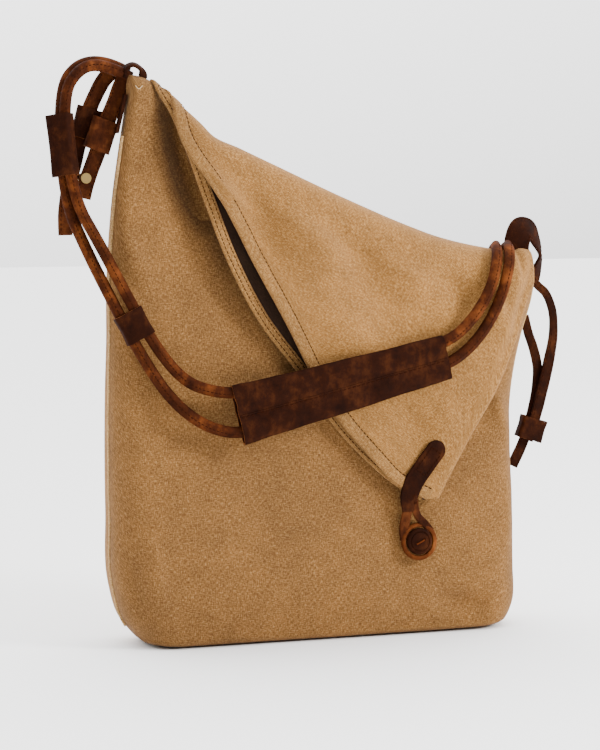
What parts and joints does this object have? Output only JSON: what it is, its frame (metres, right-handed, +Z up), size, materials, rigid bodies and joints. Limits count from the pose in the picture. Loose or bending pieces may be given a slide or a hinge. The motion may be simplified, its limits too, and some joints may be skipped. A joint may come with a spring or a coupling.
{
  "type": "messenger bag",
  "caption": "Upright canvas shoulder bag whose slanted top folds down in front as a pointed flap with a leather tab and button, carried by twin rolled leather cords through a leather grip",
  "frame": {"origin": "middle of the flat base, on the surface the bag stands on", "axes": "+Z up, +X to the right of the bag seen from the front, -Y towards the front where the flap hangs"},
  "size_m": [0.46, 0.0937, 0.4854],
  "materials": {
    "canvas": "washed plain-weave cotton canvas, matte, tan, paler along worn edges",
    "lining": "plain cotton lining, matte",
    "dark_leather": "dark waxed leather, satin, with paler pull-up marks",
    "strap_leather": "brown waxed leather straps, satin",
    "cord_leather": "orange-brown rolled and stitched leather, satin",
    "brass": "aged brass rivet",
    "thread": "waxed dark brown thread"
  },
  "bodies": {
    "pouch": {"front_panel": "canvas", "back_panel": "canvas", "side_seam_left": "canvas", "side_seam_right": "canvas", "lining_front": "lining", "lining_back": "lining", "inner_pocket": "lining", "fold_outer": "canvas", "fold_inner": "canvas", "button_disc": "dark_leather", "button_backing": "dark_leather", "button_thread": "thread", "left_tail_front": "strap_leather", "left_tail_rear": "strap_leather", "tail_rivet": "brass", "left_anchor_loop": "strap_leather", "left_anchor_patch": "strap_leather", "right_anchor_patch": "strap_leather", "right_loop": "strap_leather", "right_strap_outer": "strap_leather", "right_strap_inner": "strap_leather"},
    "flap": {"flap_outer": "canvas", "flap_inner": "canvas", "hem_outer": "canvas", "hem_inner": "canvas", "flap_seam": "canvas", "tab_anchor": "dark_leather"},
    "closure_tab": {"tab_loop": "dark_leather"},
    "handle": {"cord_left_upper": "cord_leather", "cord_left_lower": "cord_leather", "cord_right_upper": "cord_leather", "cord_right_lower": "cord_leather", "grip": "dark_leather"},
    "long_keeper": {"keeper_long": "dark_leather"},
    "square_keeper": {"keeper_square": "dark_leather"},
    "front_tail_keeper": {"keeper_front_tail": "strap_leather"},
    "rear_tail_keeper": {"keeper_rear_tail": "dark_leather"},
    "right_keeper": {"keeper_right": "dark_leather"}
  },
  "joints": [
    {"name": "flap_hinge", "type": "hinge", "parent": "pouch", "child": "flap", "pos_m": [-0.15, 0.003, 0.465], "axis": [-0.9221, 0, 0.387], "range_deg": [0, 140], "deforming": ["fold_outer", "fold_inner"]},
    {"name": "tab_hinge", "type": "hinge", "parent": "flap", "child": "closure_tab", "pos_m": [0.0755, -0.0472, 0.1225], "axis": [-1, 0, 0], "range_deg": [0, 60]},
    {"name": "handle_swing", "type": "hinge", "parent": "flap", "child": "handle", "pos_m": [-0.15, 0.003, 0.465], "axis": [-0.9221, 0, 0.387], "range_deg": [0, 160], "deforming": ["cord_left_upper", "cord_left_lower", "cord_right_upper", "cord_right_lower"]},
    {"name": "long_keeper_slide", "type": "slide", "parent": "handle", "child": "long_keeper", "axis": [0.087, -0.0719, -0.9936], "range_m": [-0.005, 0.004]},
    {"name": "square_keeper_slide", "type": "slide", "parent": "handle", "child": "square_keeper", "axis": [0.4524, -0.1182, -0.8839], "range_m": [-0.006, 0.006]},
    {"name": "front_tail_keeper_slide", "type": "slide", "parent": "pouch", "child": "front_tail_keeper", "axis": [-0.3635, 0, -0.9316], "range_m": [-0.004, 0.006]},
    {"name": "rear_tail_keeper_slide", "type": "slide", "parent": "pouch", "child": "rear_tail_keeper", "axis": [-0.2873, 0, -0.9578], "range_m": [-0.003, 0.003]},
    {"name": "right_keeper_slide", "type": "slide", "parent": "pouch", "child": "right_keeper", "axis": [-0.306, 0, -0.952], "range_m": [-0.004, 0.006]}
  ]
}
